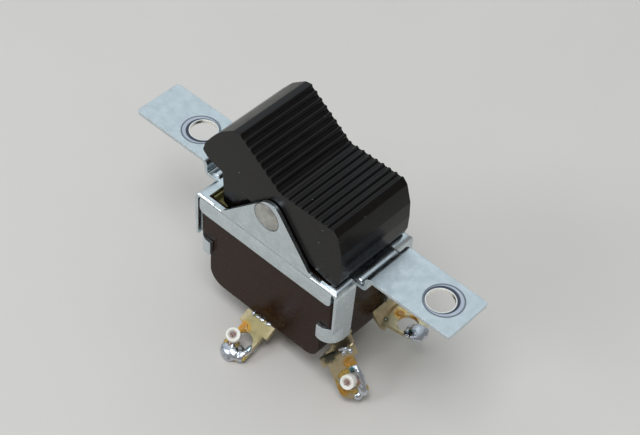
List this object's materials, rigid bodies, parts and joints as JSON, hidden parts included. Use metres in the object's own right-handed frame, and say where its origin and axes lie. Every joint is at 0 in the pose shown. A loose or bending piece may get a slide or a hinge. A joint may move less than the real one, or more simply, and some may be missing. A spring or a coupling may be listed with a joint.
{
  "type": "panel toggle switch",
  "caption": "Panel-mount rocker switch with a ribbed saddle-shaped rocker on a folded steel bracket, with a moulded base and solder lugs.",
  "frame": {"origin": "midway between the two mounting holes, on the top face of the mounting ears", "axes": "+X along the bracket towards the end with the load terminals, +Y across it, +Z out of the panel towards the user"},
  "size_m": [0.0635, 0.0308, 0.0402],
  "materials": {
    "zinc_steel": "satin",
    "rivet_steel": "satin",
    "spring_steel": "bright",
    "rocker_plastic": "gloss",
    "base_plastic": "gloss",
    "fibre": "matte",
    "tinned_brass": "satin",
    "bar_brass": "satin",
    "contact_silver": "bright",
    "solder": "bright",
    "wire_plastic": "satin",
    "strand_metal": "satin"
  },
  "bodies": {
    "switch_body": {"mounting_bracket": "zinc_steel", "pivot_pin": "rivet_steel", "base_housing": "base_plastic", "insulator_left": "fibre", "insulator_right": "fibre", "common_terminal_front": "tinned_brass", "common_terminal_back": "tinned_brass", "load_terminal_front": "tinned_brass", "load_terminal_back": "tinned_brass", "fixed_contact_front": "contact_silver", "fixed_contact_back": "contact_silver", "bar_pin_front": "rivet_steel", "bar_pin_back": "rivet_steel", "solder_middle": "solder", "solder_end": "solder", "solder_back": "solder", "wire_insulation_middle": "wire_plastic", "wire_insulation_end": "wire_plastic", "wire_strands_middle": "strand_metal", "wire_strands_end": "strand_metal"},
    "rocker_body": {"rocker": "rocker_plastic", "plunger_spring_front": "spring_steel", "plunger_spring_back": "spring_steel"},
    "plunger_front_body": {"plunger_front": "bar_brass"},
    "plunger_back_body": {"plunger_back": "bar_brass"},
    "bar_front_body": {"contact_bar_front": "bar_brass", "moving_contact_front": "contact_silver"},
    "bar_back_body": {"contact_bar_back": "bar_brass", "moving_contact_back": "contact_silver"}
  },
  "joints": [
    {"name": "rocker_hinge", "type": "hinge", "parent": "switch_body", "child": "rocker_body", "pos_m": [-0.0026, 0, 0.003], "axis": [0, 1, 0], "range_deg": [-35, 0]},
    {"name": "bar_front_hinge", "type": "hinge", "parent": "switch_body", "child": "bar_front_body", "pos_m": [-0.0026, -0.0037, -0.0112], "axis": [0, 1, 0], "range_deg": [0, 18]},
    {"name": "bar_back_hinge", "type": "hinge", "parent": "switch_body", "child": "bar_back_body", "pos_m": [-0.0026, 0.0037, -0.0112], "axis": [0, 1, 0], "range_deg": [0, 18]},
    {"name": "plunger_front_slide", "type": "slide", "parent": "rocker_body", "child": "plunger_front_body", "axis": [0.3007, 0, 0.9537], "range_m": [0, 0.0008], "stiffness_N_per_m": 400, "springref_m": -0.002, "deforming": ["plunger_spring_front"]},
    {"name": "plunger_back_slide", "type": "slide", "parent": "rocker_body", "child": "plunger_back_body", "axis": [0.3007, 0, 0.9537], "range_m": [0, 0.0008], "stiffness_N_per_m": 400, "springref_m": -0.002, "deforming": ["plunger_spring_back"]}
  ],
  "couplings": [
    {"joint": "bar_front_hinge", "follows": "rocker_hinge", "ratio": -0.514},
    {"joint": "bar_back_hinge", "follows": "rocker_hinge", "ratio": -0.514}
  ]
}
